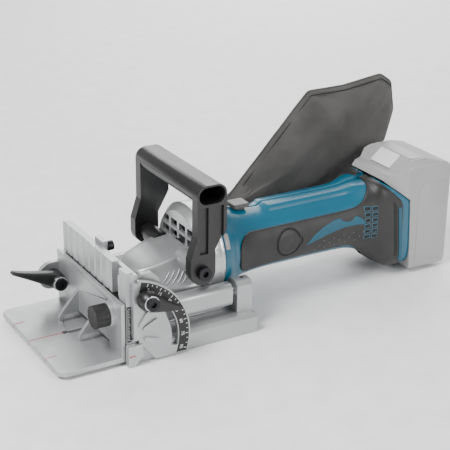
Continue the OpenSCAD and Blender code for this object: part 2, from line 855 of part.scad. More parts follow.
// Places its children on the sloping face that holds the battery's release button
module on_button_face() {
    translate([0, 267, 107.5]) rotate([atan2(13.5, 17), 0, 0]) children();
}

module battery_cells() {
    color("steelblue") for (y = [302, 321]) for (z = [20, 39, 58, 77, 96])
        rod_x_axis(-33, 33, y - (z - 20) * 0.05, z, 9);
}

module battery_button() {
    color("white") on_button_face() block([-15, 1.8, -6], [15, 19.2, 2.4]);
}

module dust_bag() {
    color("dimgray") hull() {
        side(bag_x - 2, bag_x + 2) polygon(bag_line);
        translate([0, 224, 112]) scale([1, 0.62, 0.62]) translate([0, -224, -112])
            side(bag_x - 21, bag_x + 18) polygon(bag_line);
    }
}

module bag_collar() {
    color("dimgray") translate([bag_x, bag_y, bag_z]) rotate([-45, 0, 0]) difference() {
        union() {
            translate([0, 0, 8]) cylinder(r = 16.6, h = collar_end - 8);
            translate([0, 0, 22]) cylinder(r = 19, h = 3);
        }
        translate([0, 0, -1]) cylinder(r = 14.06, h = 25.4);
        translate([0, 0, -1]) cylinder(r = 12, h = 40);
    }
}

base_casting();
fence();
ribbed_fence();
angle_sector();
angle_scale();
height_scale();
fence_pins();
grip_tips();
guide_rods();
return_springs();
rod_screws();
lever_stud();
dust_nozzle();
stop_bracket();
stop_dial();
blade_cover();
cover_pin();
cover_screw();
angle_lever();
angle_lever_screw();
angle_guide();
guide_rack();
height_pointer();
height_knob();
guide_lever();
guide_lever_screw();
slide_carriage();
gear_housing();
vent_drum();
motor_flange();
housing_left();
housing_right();
grip_pad_left();
grip_pad_right();
brush_caps();
carbon_brushes();
housing_screws();
d_handle();
handle_screws();
depth_screw();
stator();
bearings();
switch_unit();
controller();
terminal_block();
slide_switch();
shaft_lock();
blade();
spindle();
lock_nut();
bevel_gear();
armature();
commutator();
fan();
pinion();
battery_case();
battery_cells();
battery_button();
dust_bag();
bag_collar();
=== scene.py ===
"""Looks of the cordless biscuit joiner: materials on the CAD nodes, and detailed pieces on them.

Lengths are millimetres in the CAD frame, and piece() turns them into metres. Lights and the
camera are placed in metres. Angles in tables and constants are degrees.
"""
import math

import bmesh
import bpy
import numpy as np
from mathutils import Matrix, Vector, noise


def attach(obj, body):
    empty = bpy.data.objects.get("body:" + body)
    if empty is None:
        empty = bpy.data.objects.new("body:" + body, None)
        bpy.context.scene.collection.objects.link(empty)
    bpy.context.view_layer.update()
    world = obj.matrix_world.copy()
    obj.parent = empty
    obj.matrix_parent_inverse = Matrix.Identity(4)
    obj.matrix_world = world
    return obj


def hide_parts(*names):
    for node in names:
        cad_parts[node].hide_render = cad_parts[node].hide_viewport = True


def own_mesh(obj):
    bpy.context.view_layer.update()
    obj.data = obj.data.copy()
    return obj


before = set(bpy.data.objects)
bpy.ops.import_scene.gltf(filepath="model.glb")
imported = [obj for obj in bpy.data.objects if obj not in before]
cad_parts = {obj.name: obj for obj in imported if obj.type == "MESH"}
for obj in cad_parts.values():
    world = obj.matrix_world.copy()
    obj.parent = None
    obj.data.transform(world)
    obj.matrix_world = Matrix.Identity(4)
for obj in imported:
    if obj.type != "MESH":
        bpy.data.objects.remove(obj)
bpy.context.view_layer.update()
MM = 0.001


# ---------------------------------------------------------------- materials

class Shader:
    """A Principled material whose colour, roughness and bump come from object-space noise."""

    def __init__(self, name, color, roughness, metallic=0.0):
        self.material = bpy.data.materials.new(name)
        self.material.use_nodes = True
        self.nodes = self.material.node_tree.nodes
        self.links = self.material.node_tree.links
        self.bsdf = self.nodes["Principled BSDF"]
        self.bsdf.inputs["Metallic"].default_value = metallic
        self.bsdf.inputs["Roughness"].default_value = roughness
        self.color = color
        self.roughness = roughness
        self.coords = self.nodes.new("ShaderNodeTexCoord").outputs["Object"]
        self.height = None

    def noise(self, scale, detail=3.0, stretch=(1, 1, 1)):
        mapping = self.nodes.new("ShaderNodeMapping")
        mapping.inputs["Scale"].default_value = stretch
        self.links.new(self.coords, mapping.inputs["Vector"])
        node = self.nodes.new("ShaderNodeTexNoise")
        node.inputs["Scale"].default_value = scale
        node.inputs["Detail"].default_value = detail
        self.links.new(mapping.outputs["Vector"], node.inputs["Vector"])
        return node.outputs["Fac"]

    def ramp(self, value, low, high, out_low, out_high):
        node = self.nodes.new("ShaderNodeMapRange")
        for key, number in zip(("From Min", "From Max", "To Min", "To Max"),
                               (low, high, out_low, out_high)):
            node.inputs[key].default_value = number
        self.links.new(value, node.inputs["Value"])
        return node.outputs["Result"]

    def mix(self, factor, color_a, color_b):
        """Mixes two colours; either may be an RGB tuple or another node's output."""
        node = self.nodes.new("ShaderNodeMix")
        node.data_type = "RGBA"
        self.links.new(factor, node.inputs["Factor"])
        for socket, color in ((node.inputs["A"], color_a), (node.inputs["B"], color_b)):
            for s in node.inputs:
                if s.name == socket.name and s.type == "RGBA":
                    if isinstance(color, tuple):
                        s.default_value = (*color, 1)
                    else:
                        self.links.new(color, s)
        return [o for o in node.outputs if o.type == "RGBA"][0]

    def mottle(self, scale, dark, light):
        """Slow colour variation between two multiples of the base colour."""
        factor = self.ramp(self.noise(scale), 0.3, 0.7, 0, 1)
        self.color_out = self.mix(factor, tuple(c * dark for c in self.color),
                                  tuple(min(1.0, c * light) for c in self.color))
        self.links.new(self.color_out, self.bsdf.inputs["Base Color"])
        return self

    def wear_and_highlight_edges(self, color, amount=0.5):
        """Paler convex edges, partly edge wear and partly a painted edge highlight, from the
        mesh's own pointiness broken up by noise.
        """
        geometry = self.nodes.new("ShaderNodeNewGeometry")
        edge = self.ramp(geometry.outputs["Pointiness"], 0.52, 0.60, 0, 1)
        grit = self.ramp(self.noise(900, 4), 0.42, 0.62, 0, amount)
        both = self.nodes.new("ShaderNodeMath")
        both.operation = "MULTIPLY"
        self.links.new(edge, both.inputs[0])
        self.links.new(grit, both.inputs[1])
        self.color_out = self.mix(both.outputs[0], self.color_out, color)
        self.links.new(self.color_out, self.bsdf.inputs["Base Color"])
        return self

    def uneven_gloss(self, scale, spread):
        value = self.ramp(self.noise(scale, 5), 0.25, 0.75, self.roughness - spread,
                          self.roughness + spread)
        self.links.new(value, self.bsdf.inputs["Roughness"])
        return self

    def bump(self, value, distance, strength=1.0):
        node = self.nodes.new("ShaderNodeBump")
        node.inputs["Distance"].default_value = distance
        node.inputs["Strength"].default_value = strength
        self.links.new(value, node.inputs["Height"])
        if self.height:
            self.links.new(self.height, node.inputs["Normal"])
        self.height = node.outputs["Normal"]
        self.links.new(self.height, self.bsdf.inputs["Normal"])
        return self

    def gloss(self, coat=0.0, coat_roughness=0.1, specular=0.5, sheen=0.0):
        self.bsdf.inputs["Coat Weight"].default_value = coat
        self.bsdf.inputs["Coat Roughness"].default_value = coat_roughness
        self.bsdf.inputs["Specular IOR Level"].default_value = specular
        self.bsdf.inputs["Sheen Weight"].default_value = sheen
        return self


# Each pale edge colour given below is partly edge wear and partly a painted edge highlight.
def cast_metal():
    s = Shader("die_cast_aluminium", (0.42, 0.43, 0.435), 0.38, 0.62)
    s.mottle(35, 0.93, 1.05).wear_and_highlight_edges((0.6, 0.6, 0.6)).uneven_gloss(60, 0.07)
    return s.bump(s.noise(1400, 5), 0.00008, 0.25).material


def machined_plate():
    s = Shader("machined_plate", (0.50, 0.51, 0.515), 0.30, 0.75)
    s.mottle(30, 0.95, 1.04).wear_and_highlight_edges((0.75, 0.75, 0.75)).uneven_gloss(80, 0.06)
    return s.bump(s.noise(1800, 4), 0.00005, 0.2).material


def steel(name, color, roughness):
    s = Shader(name, color, roughness, 1.0)
    s.mottle(60, 0.9, 1.08).uneven_gloss(150, 0.08)
    return s.bump(s.noise(1500, 3, (1, 0.05, 1)), 0.00003, 0.3).material


def teal_plastic():
    s = Shader("teal_plastic", (0.0, 0.098, 0.165), 0.32)
    s.mottle(30, 0.96, 1.05).wear_and_highlight_edges((0.03, 0.2, 0.3), 0.35).uneven_gloss(90, 0.05)
    s.gloss(coat=0.25, coat_roughness=0.25)
    return s.bump(s.noise(2600, 2), 0.00004, 0.12).material


def soft_rubber():
    s = Shader("grip_rubber", (0.017, 0.016, 0.0155), 0.48)
    s.mottle(40, 0.85, 1.15).wear_and_highlight_edges((0.045, 0.043, 0.041), 0.5).uneven_gloss(70, 0.07)
    s.gloss(specular=0.45, sheen=0.04)
    return s.bump(s.noise(3000, 2), 0.00005, 0.2).material


def black_plastic():
    s = Shader("black_plastic", (0.0065, 0.0065, 0.007), 0.36)
    s.mottle(45, 0.85, 1.2).wear_and_highlight_edges((0.03, 0.03, 0.03), 0.5).uneven_gloss(30, 0.03)
    return s.bump(s.noise(2400, 2), 0.00003, 0.05).material


def plain(name, color, roughness):
    s = Shader(name, color, roughness)
    s.mottle(40, 0.95, 1.04).uneven_gloss(90, 0.05)
    return s.bump(s.noise(2200, 2), 0.00005, 0.25).material


def battery_plastic():
    s = Shader("battery_grey", (0.36, 0.355, 0.355), 0.42)
    s.mottle(28, 0.95, 1.04).wear_and_highlight_edges((0.5, 0.5, 0.5), 0.4).uneven_gloss(90, 0.05)
    return s.bump(s.noise(2400, 3), 0.0001, 0.3).material


def bag_cloth():
    """Plain weave: two crossed sine waves in the bag's plane, with fibres and dusty patches."""
    s = Shader("bag_cloth", (0.056, 0.054, 0.052), 0.85)
    s.mottle(26, 0.6, 1.45)
    weave = []
    for axis, phase in (("Y", 0.0), ("Z", 1.6)):
        wave = s.nodes.new("ShaderNodeTexWave")
        wave.bands_direction = axis
        wave.inputs["Scale"].default_value = 420
        wave.inputs["Distortion"].default_value = 0.6
        wave.inputs["Detail Scale"].default_value = 2.0
        wave.inputs["Phase Offset"].default_value = phase
        s.links.new(s.coords, wave.inputs["Vector"])
        weave.append(wave.outputs["Fac"])
    thread = s.nodes.new("ShaderNodeMath")
    thread.operation = "MAXIMUM"
    s.links.new(weave[0], thread.inputs[0])
    s.links.new(weave[1], thread.inputs[1])
    lit = s.mix(s.ramp(thread.outputs[0], 0.4, 1.0, 0, 0.6), s.color_out, (0.105, 0.102, 0.098))
    s.links.new(lit, s.bsdf.inputs["Base Color"])
    s.bump(s.noise(120, 4), 0.0008, 0.25)
    s.bump(thread.outputs[0], 0.00035, 0.6)
    return s.gloss(specular=0.25, sheen=0.25).material


METAL = cast_metal()
PLATE = machined_plate()
STEEL = steel("ground_steel", (0.55, 0.56, 0.57), 0.28)
DARK_STEEL = steel("blackened_steel", (0.035, 0.035, 0.038), 0.42)
TEAL = teal_plastic()
INLAY = plain("teal_inlay", (0.0, 0.075, 0.125), 0.5)
KNOB = plain("knob_black", (0.005, 0.005, 0.005), 0.5)
RUBBER = soft_rubber()
BLACK = black_plastic()
CLOTH = bag_cloth()
BATTERY = battery_plastic()
WHITE = plain("white_plastic", (0.8, 0.8, 0.79), 0.3)
SWITCH = plain("switch_grey", (0.075, 0.073, 0.07), 0.45)
WINDOW = plain("grey_window", (0.3, 0.295, 0.28), 0.3)
SCALE = plain("scale_black", (0.012, 0.012, 0.012), 0.5)
MARKS = plain("scale_white", (0.8, 0.8, 0.8), 0.55)
RED = plain("red_paint", (0.4, 0.0, 0.008), 0.6)
DOTS = plain("rubber_dots", (0.11, 0.105, 0.1), 0.35)
DARK = plain("dark_gap", (0.006, 0.006, 0.006), 0.7)
COPPER = steel("copper", (0.75, 0.36, 0.2), 0.35)
CIRCUIT = plain("circuit_green", (0.02, 0.14, 0.05), 0.4)
CELLS = plain("cell_wrap", (0.06, 0.16, 0.3), 0.35)
IVORY = plain("ivory_plastic", (0.62, 0.58, 0.48), 0.4)

NODE_LOOKS = {
    METAL: ("ribbed_fence", "base_casting", "fence", "angle_sector", "angle_guide",
            "slide_carriage", "gear_housing", "blade_cover", "stop_bracket"),
    PLATE: ("vent_drum", "height_pointer", "motor_flange"),
    STEEL: ("guide_rods", "return_springs", "lever_stud", "cover_pin", "cover_screw",
            "guide_rack", "blade", "spindle", "bearings", "armature", "housing_screws",
            "depth_screw"),
    DARK_STEEL: ("fence_pins", "rod_screws", "angle_lever_screw", "guide_lever_screw",
                 "handle_screws", "lock_nut", "bevel_gear", "pinion", "stator"),
    TEAL: ("housing_left", "housing_right"),
    RUBBER: ("grip_pad_left", "grip_pad_right", "grip_tips", "brush_caps"),
    SWITCH: ("slide_switch",),
    KNOB: ("height_knob",),
    BLACK: ("angle_lever", "guide_lever", "d_handle", "dust_nozzle",
            "bag_collar", "shaft_lock", "stop_dial", "switch_unit", "terminal_block"),
    SCALE: ("angle_scale", "height_scale", "carbon_brushes"),
    CLOTH: ("dust_bag",),
    BATTERY: ("battery_case",),
    WHITE: ("battery_button",),
    COPPER: ("commutator",),
    CIRCUIT: ("controller",),
    CELLS: ("battery_cells",),
    IVORY: ("fan",),
}
# Radius of the rounded edges of the CAD nodes that show
DEFAULT_EDGE = 0.25
EDGE_RADIUS = {"base_casting": 0.6, "fence": 0.5, "angle_guide": 0.6, "ribbed_fence": 0.4,
               "slide_carriage": 0.7, "d_handle": 0.9, "battery_case": 0.9, "vent_drum": 0.5,
               "angle_sector": 0.35, "battery_button": 0.9, "slide_switch": 1.6,
               "height_knob": 0.4, "terminal_block": 0.6, "blade_cover": 0.4}


def round_edges(obj, radius):
    """Welds the CAD mesh's split vertices in a modifier and rounds its sharp edges."""
    weld = obj.modifiers.new("weld", "WELD")
    weld.merge_threshold = 1e-6
    bevel = obj.modifiers.new("bevel", "BEVEL")
    bevel.width = radius * MM
    bevel.segments = 3
    bevel.limit_method = "ANGLE"
    bevel.angle_limit = math.radians(32)
    bevel.use_clamp_overlap = True
    bevel.harden_normals = True
    bevel.miter_outer = "MITER_ARC"


def dress_nodes():
    for material, names in NODE_LOOKS.items():
        for name in names:
            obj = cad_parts[name]
            obj.data.materials.clear()
            obj.data.materials.append(material)
            round_edges(obj, EDGE_RADIUS.get(name, DEFAULT_EDGE))


# ---------------------------------------------------------------- geometry helpers

def point(x, y, z):
    return Vector((x * MM, y * MM, z * MM))


def piece(name, verts, faces, material, body, smooth=True, replaces=()):
    """A mesh piece from points in millimetres, riding on a body."""
    mesh = bpy.data.meshes.new(name)
    mesh.from_pydata([tuple(c * MM for c in v) for v in verts], [], faces)
    mesh.validate()
    mesh.polygons.foreach_set("use_smooth", [smooth] * len(mesh.polygons))
    mesh.materials.append(material)
    obj = bpy.data.objects.new(name, mesh)
    bpy.context.collection.objects.link(obj)
    fix_normals(obj)
    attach(obj, body)
    if replaces:
        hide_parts(*replaces)
    return obj


def fix_normals(obj):
    bm = bmesh.new()
    bm.from_mesh(obj.data)
    bmesh.ops.recalc_face_normals(bm, faces=bm.faces)
    bm.to_mesh(obj.data)
    bm.free()


def ring_faces(rings, count, closed_ring=True):
    """Quads between successive rings of the same number of points."""
    faces = []
    steps = count if closed_ring else count - 1
    for i in range(rings - 1):
        for j in range(steps):
            k = (j + 1) % count
            faces.append((i * count + j, i * count + k, (i + 1) * count + k, (i + 1) * count + j))
    return faces


def loft(rings):
    """Verts and faces of a skin over closed rings, with both ends capped."""
    count = len(rings[0])
    verts = [p for ring in rings for p in ring]
    faces = ring_faces(len(rings), count)
    faces.append(tuple(range(count)))
    faces.append(tuple((len(rings) - 1) * count + j for j in range(count)))
    return verts, faces


def subdivide(obj, levels):
    mod = obj.modifiers.new("subdivision", "SUBSURF")
    mod.levels = levels
    mod.render_levels = levels


def bevel(obj, width, segments=3, angle=35):
    mod = obj.modifiers.new("bevel", "BEVEL")
    mod.width = width * MM
    mod.segments = segments
    mod.limit_method = "ANGLE"
    mod.angle_limit = math.radians(angle)
    mod.harden_normals = True


def smooth_step(x):
    x = min(1.0, max(0.0, x))
    return x * x * (3 - 2 * x)


def blend_table(table, y):
    """Values of a table of (y, a, b, ...) rows at y, eased between neighbouring rows."""
    ys = [row[0] for row in table]
    y = min(max(y, ys[0]), ys[-1])
    i = max(0, min(len(table) - 2, int(np.searchsorted(ys, y)) - 1))
    t = (y - ys[i]) / (ys[i + 1] - ys[i])
    out = []
    for c in range(1, len(table[0])):
        p = [table[max(0, i - 1)][c], table[i][c], table[i + 1][c],
             table[min(len(table) - 1, i + 2)][c]]
        q = [ys[max(0, i - 1)], ys[i], ys[i + 1], ys[min(len(table) - 1, i + 2)]]
        step = q[2] - q[1]
        slope_a = (p[2] - p[0]) / (q[2] - q[0]) * step
        slope_b = (p[3] - p[1]) / (q[3] - q[1]) * step
        rise = p[2] - p[1]
        if (slope_a > 0) != (rise > 0) or rise == 0:
            slope_a = 0
        if (slope_b > 0) != (rise > 0) or rise == 0:
            slope_b = 0
        t2, t3 = t * t, t * t * t
        out.append(p[1] * (2 * t3 - 3 * t2 + 1) + slope_a * (t3 - 2 * t2 + t)
                   + p[2] * (3 * t2 - 2 * t3) + slope_b * (t3 - t2))
    return out


# ---------------------------------------------------------------- motor housing and grip

# y, half width, top, underside, squareness of the section
GRIP = [(62, 46, 107.5, 24.3, 2), (69, 45.2, 106.6, 24.3, 2), (80, 38.5, 100, 24.3, 2),
        (90, 35, 96.5, 26.5, 2), (99, 33, 94.5, 28.5, 2), (115, 31.5, 93, 30, 2),
        (133, 31, 92.5, 30.5, 2), (180, 31, 92.5, 30.5, 2), (214, 31.4, 93, 30.5, 2.1),
        (226, 32.6, 95, 29.5, 2.5), (238, 34.4, 99, 25, 3.2), (250, 36.2, 101, 17, 4.4),
        (262, 36.8, 101, 9.5, 5.5), (284, 36.8, 101, 8, 5.5)]
MOTOR_Z = 61.5
REAR_LEAN = math.tan(math.radians(3))
# Stations where the housing begins to lean and where it ends
REAR_START = 240.0
REAR_END = 284.0
# In front of this station the section is centred on the motor; behind it the centre drifts
CENTRED_TO = 200
DRIFT_LENGTH = 40
# The front flange stands on a flat foot up to this station
FOOT_END = 95
FOOT_Z = 24.3
# Flat that the slide switch moves over: half width, first and last station, height
SWITCH_FLAT = (10.5, 82, 114, 95.8)


def rear_face(z):
    """Where the housing's rear face lies at a height: upright, then sloping forward."""
    upright = REAR_END - max(z, 8) * REAR_LEAN
    return min(upright, 279.75 - (z - 80) * 1.32)


def leaned(y, z):
    """Station y moved so that the rear end of the housing follows its leaning face."""
    return REAR_START + (y - REAR_START) / (REAR_END - REAR_START) * (rear_face(z) - REAR_START)


def grip_point(y, theta, offset=0.0):
    """Point of the housing's surface at a station y and an angle from +X towards the top."""
    width, top, low, power = blend_table(GRIP, y)
    middle = MOTOR_Z
    if y >= CENTRED_TO:
        middle += ((top + low) / 2 - MOTOR_Z) * smooth_step((y - CENTRED_TO) / DRIFT_LENGTH)
    c, s = math.cos(math.radians(theta)), math.sin(math.radians(theta))
    height = top - middle if s > 0 else middle - low
    if y < CENTRED_TO:
        height = max(height, width * 0.98) if s > 0 else width
    x = width * math.copysign(abs(c) ** (2 / power), c)
    z = middle + height * math.copysign(abs(s) ** (2 / power), s)
    across = Vector((abs(x / width) ** (power - 1) * math.copysign(1, c) / width, 0,
                     abs((z - middle) / height) ** (power - 1) * math.copysign(1, s) / height))
    across.normalize()
    x += across.x * offset
    z += across.z * offset
    if y < FOOT_END:
        z = max(z, FOOT_Z)
    if y > REAR_START:
        y = leaned(y, z)
    return (x, y, z)


def ridge(y, theta):
    """Extra height of the thumb ridge along the top of the grip."""
    across = smooth_step((theta - 62) / 10) * smooth_step((118 - theta) / 10)
    along = smooth_step((y - 122) / 7) * smooth_step((241 - y) / 16)
    return 3.6 * across * along


def grip_shell(side):
    """One half of the teal housing, split on the tool's middle plane."""
    flat_half, flat_front, flat_back, flat_z = SWITCH_FLAT
    stations = list(np.arange(62, 284.1, 3))
    angles = list(np.linspace(-89.2, 89.2, 61))
    rings = []
    for y in stations:
        ring = []
        for a in angles:
            edge = -0.5 * (1 - smooth_step((89.6 - abs(a)) / 1.2))
            x, yy, z = grip_point(y, a, ridge(y, a) + edge)
            if x < flat_half and flat_front < y < flat_back:
                z = min(z, flat_z)
            ring.append((side * x, yy, z))
        rings.append(ring)
    inner = [(side * max(1.5, abs(p[0]) - 4), p[1] - 3.5, MOTOR_Z + (p[2] - MOTOR_Z) * 0.88)
             for p in rings[-1]]
    rings.append([(side * max(0.5, abs(p[0]) - 3.0), p[1], MOTOR_Z + (p[2] - MOTOR_Z) * 0.93)
                  for p in rings[-1]])
    rings.append(inner)
    verts, faces = loft(rings)
    name = "grip_shell_left" if side > 0 else "grip_shell_right"
    node = "housing_left" if side > 0 else "housing_right"
    piece(name, verts, faces, TEAL, "motor_unit", replaces=(node,))


def curve_value(points, x):
    return float(np.interp(x, [p[0] for p in points], [p[1] for p in points]))


# Upper and lower edges of the rubber, as angles round the grip at stations along it
RUBBER_TOP = [(82.3, 0), (83, 12), (86, 22), (91, 31), (99, 36), (222, 36.6), (228, 41),
              (233.4, 52), (238, 68), (241, 90), (284, 90)]
RUBBER_LOW = [(82.3, 0), (83.5, -15), (87, -28), (93, -37), (101, -39), (214, -39), (221, -47),
              (230, -62), (240, -78), (246, -90), (284, -90)]
RUBBER_END = 275.4
RUBBER_THICKNESS = 1.2


def rubber_skin(side):
    """Rubber overmould of one side: a skin that stands proud of the shell, with rounded edges."""
    stations = list(np.concatenate([82.3 + 9 * (1 - np.cos(np.linspace(0, math.pi / 2, 10))),
                                    np.arange(94, RUBBER_END, 2.6), [RUBBER_END]]))
    columns = 41
    outer = []
    for y in stations:
        top, low = curve_value(RUBBER_TOP, y), curve_value(RUBBER_LOW, y)
        end = smooth_step((y - 82.2) / 2.2) * smooth_step((RUBBER_END + 0.4 - y) / 1.2)
        row = []
        for j in range(columns):
            t = j / (columns - 1)
            t = 0.5 - 0.5 * math.cos(math.pi * t)
            a = low + (top - low) * t
            near = min(t, 1 - t) * abs(top - low)
            lip = smooth_step(near / 3.2)
            if abs(a) > 88.5:
                lip = 1
            lift = -0.8 + 2.3 * lip * end
            x, yy, z = grip_point(y, min(89.4, max(-89.4, a)), lift)
            row.append((side * x, yy, z))
        outer.append(row)
    verts = [p for row in outer for p in row]
    faces = ring_faces(len(outer), columns, closed_ring=False)
    name = "grip_rubber_left" if side > 0 else "grip_rubber_right"
    node = "grip_pad_left" if side > 0 else "grip_pad_right"
    obj = piece(name, verts, faces, RUBBER, "motor_unit", replaces=(node,))
    mod = obj.modifiers.new("thickness", "SOLIDIFY")
    mod.thickness = RUBBER_THICKNESS * MM
    mod.offset = -1


SWOOSH_TOP = [(160.6, -10.5), (169.4, 5), (180, 15), (191, 22), (199.6, 24.5), (204, 17),
              (208, 14), (213, 14.5), (218.5, 20), (223.8, 13), (228.5, 1.6)]
SWOOSH_LOW = [(160.6, -11.5), (176.4, -5), (190, 1), (205, 5.5), (217, 4.5), (228.5, 1)]


def patch(name, side, stations, low, high, lift, material, sink=-0.2):
    """Thin pad on the grip between two edge curves, with its rim sunk below its face."""
    columns = 13
    verts = []
    for i, y in enumerate(stations):
        for j in range(columns):
            a = low(y) + (high(y) - low(y)) * j / (columns - 1)
            rim = j in (0, columns - 1) or i in (0, len(stations) - 1)
            x, yy, z = grip_point(y, a, sink if rim else lift)
            verts.append((side * x, yy, z))
    piece(name, verts, ring_faces(len(stations), columns, closed_ring=False), material,
          "motor_unit")


def grip_details(side):
    tag = "left" if side > 0 else "right"
    patch("swoosh_" + tag, side, list(np.linspace(160.6, 228.5, 48)),
          lambda y: curve_value(SWOOSH_LOW, y), lambda y: curve_value(SWOOSH_TOP, y), 1.9, INLAY,
          sink=1.2)
    patch("light_window_" + tag, side, list(np.linspace(63.5, 69, 8)),
          lambda y: 17.0, lambda y: 36.5, 0.5, WINDOW)
    dimples(side, tag)
    vents(side, tag)
    rail_slot(side, tag)
    brush_rim(side, tag)


def dimples(side, tag):
    """Rows of small raised dots in the rubber under the swoosh."""
    verts, faces = [], []
    for row in range(3):
        for i in range(6):
            y = 172 + 11.5 * i + 4.5 * row
            a = -25 + 8.5 * row + 1.2 * (i - 2)
            if a > curve_value(SWOOSH_LOW, y) - 4 or y > 229:
                continue
            centre = Vector(grip_point(y, a, 1.5))
            normal = (Vector(grip_point(y, a, 2.5)) - centre).normalized()
            tangent = normal.cross(Vector((0, 1, 0))).normalized()
            other = normal.cross(tangent)
            base = len(verts)
            for r, h in ((0.75, -0.2), (0.62, 0.25), (0.3, 0.42)):
                for k in range(10):
                    w = 2 * math.pi * k / 10
                    p = centre + (tangent * math.cos(w) + other * math.sin(w)) * r + normal * h
                    verts.append((side * p.x, p.y, p.z))
            faces += [tuple(base + v for v in f) for f in ring_faces(3, 10)]
            faces.append(tuple(base + 20 + k for k in range(10)))
    piece("grip_dots_" + tag, verts, faces, DOTS, "motor_unit")


def on_grip(y, z, offset):
    """Point of the housing's side at a station and a height."""
    low, high = -89.0, 89.0
    for _ in range(30):
        middle = (low + high) / 2
        if grip_point(y, middle)[2] < z:
            low = middle
        else:
            high = middle
    return Vector(grip_point(y, (low + high) / 2, offset))


VENT_COLUMNS = (230.5, 238.6)
VENT_ROWS = 6
VENT_LOW = 50.5
VENT_PITCH = 5.7


def vents(side, tag):
    """Two columns of six slots: a teal surround with a dark opening in each."""
    frames, holes, teal_verts, dark_verts = [], [], [], []
    for y in VENT_COLUMNS:
        for row in range(VENT_ROWS):
            z = VENT_LOW + VENT_PITCH * row
            for verts, faces, half_y, half_z, lift in (
                    (teal_verts, frames, 3.2, 2.1, 1.65), (dark_verts, holes, 2.55, 1.5, 1.85)):
                base = len(verts)
                for dy, dz, down in ((-1, -1, 0), (1, -1, 0), (1, 1, 0), (-1, 1, 0),
                                     (-1, -1, 1), (1, -1, 1), (1, 1, 1), (-1, 1, 1)):
                    p = on_grip(y + dy * half_y, z + dz * half_z, lift - 1.2 * down)
                    verts.append((side * p.x, p.y, p.z))
                faces += [(base, base + 1, base + 2, base + 3)]
                faces += [(base + k, base + (k + 1) % 4, base + 4 + (k + 1) % 4, base + 4 + k)
                          for k in range(4)]
    bevel(piece("vent_frames_" + tag, teal_verts, frames, TEAL, "motor_unit"), 0.25, 2)
    piece("vent_holes_" + tag, dark_verts, holes, DARK, "motor_unit")


def rail_slot(side, tag):
    """Dark upright slot in the rear flank, and the teal strip behind it."""
    for name, y0, y1, z0, z1, lift, material in (
            ("slot", 260.8, 265.2, 14, 82, 1.66, DARK),
            ("strip", 267.2, 271.4, 18, 76, 2.2, INLAY)):
        verts = []
        steps = 14
        for i in range(steps + 1):
            z = z0 + (z1 - z0) * i / steps
            lean = (80 - z) * 0.055
            for y, d in ((y0, -0.3), (y0 + 0.4, 0), (y1 - 0.4, 0), (y1, -0.3)):
                p = on_grip(y, z, lift + d)
                verts.append((side * p.x, p.y + lean, p.z))
        piece("rear_%s_%s" % (name, tag), verts, ring_faces(steps + 1, 4, closed_ring=False),
              material, "motor_unit")


BRUSH_Y, BRUSH_Z = 140.0, 62.0


def brush_rim(side, tag):
    """Dark joint line round the brush cover, with a keyhole tab on its rear side."""
    verts, rings, around = [], 72, 8
    for i in range(rings):
        w = 2 * math.pi * i / rings
        from_tab = min(i, rings - i) * 360 / rings
        r = 13.2 + 2.2 * smooth_step((14 - from_tab) / 4)
        p = on_grip(BRUSH_Y + r * math.cos(w), BRUSH_Z + r * math.sin(w), 1.75)
        for k in range(around):
            q = 2 * math.pi * k / around
            verts.append((side * (p.x + 0.5 * math.cos(q)), p.y + 0.6 * math.sin(q) * math.cos(w),
                          p.z + 0.6 * math.sin(q) * math.sin(w)))
    faces = []
    for i in range(rings):
        for k in range(around):
            a, b = i * around + k, i * around + (k + 1) % around
            c, d = ((i + 1) % rings) * around + (k + 1) % around, ((i + 1) % rings) * around + k
            faces.append((a, b, c, d))
    piece("brush_joint_" + tag, verts, faces, DARK, "motor_unit")


def brush_covers():
    """Round covers over the brushes, curved like the grip around them."""
    verts, faces, around = [], [], 64
    for side in (1, -1):
        start = len(verts)
        levels = [(0.01, 1.95), (3, 1.95), (7, 1.95), (11.6, 1.95), (12.5, 1.6), (12.6, 0.2)]
        for r, lift in levels:
            for k in range(around):
                w = 2 * math.pi * k / around
                p = on_grip(BRUSH_Y + r * math.cos(w), BRUSH_Z + r * math.sin(w), lift)
                verts.append((side * p.x, p.y, p.z))
        faces += [tuple(start + v for v in f) for f in ring_faces(len(levels), around)]
        faces.append(tuple(start + k for k in range(around)))
    piece("brush_covers", verts, faces, RUBBER, "motor_unit", replaces=("brush_caps",))


def top_window():
    """Small dark window in the rubber above the battery latch."""
    verts = []
    rows = list(np.linspace(254, 276, 9))
    columns = list(np.linspace(3, 14, 9))
    for i, y in enumerate(rows):
        top = blend_table(GRIP, y)[1]
        for j, x in enumerate(columns):
            rim = i in (0, len(rows) - 1) or j in (0, len(columns) - 1)
            z = top + (0.6 if rim else 1.75)
            verts.append((x, leaned(y, z), z))
    piece("top_window", verts, ring_faces(len(rows), len(columns), closed_ring=False), DARK,
          "motor_unit")


def grip():
    for side in (1, -1):
        grip_shell(side)
        rubber_skin(side)
        grip_details(side)
    brush_covers()
    top_window()


BATTERY_PANEL = [(291, 12), (291, 86), (297, 95), (322, 95), (327, 89), (328.5, 55), (328, 16),
                 (324, 11)]
PANEL_MIDDLE = (309, 50)


def battery_details():
    """Raised side panels of the battery."""
    for side, tag in ((1, "left"), (-1, "right")):
        rings = []
        for inset, x in ((0, 37.3), (0, 37.75), (0.6, 38.0)):
            ring = []
            for y, z in BATTERY_PANEL:
                ring.append((side * x, y + inset * (1 if y < PANEL_MIDDLE[0] else -1),
                             z + inset * (1 if z < PANEL_MIDDLE[1] else -1)))
            rings.append(ring)
        verts, faces = loft(rings)
        obj = piece("battery_panel_" + tag, verts, faces, BATTERY, "battery")
        bevel(obj, 1.2, 3, 25)


# ---------------------------------------------------------------- gear housing

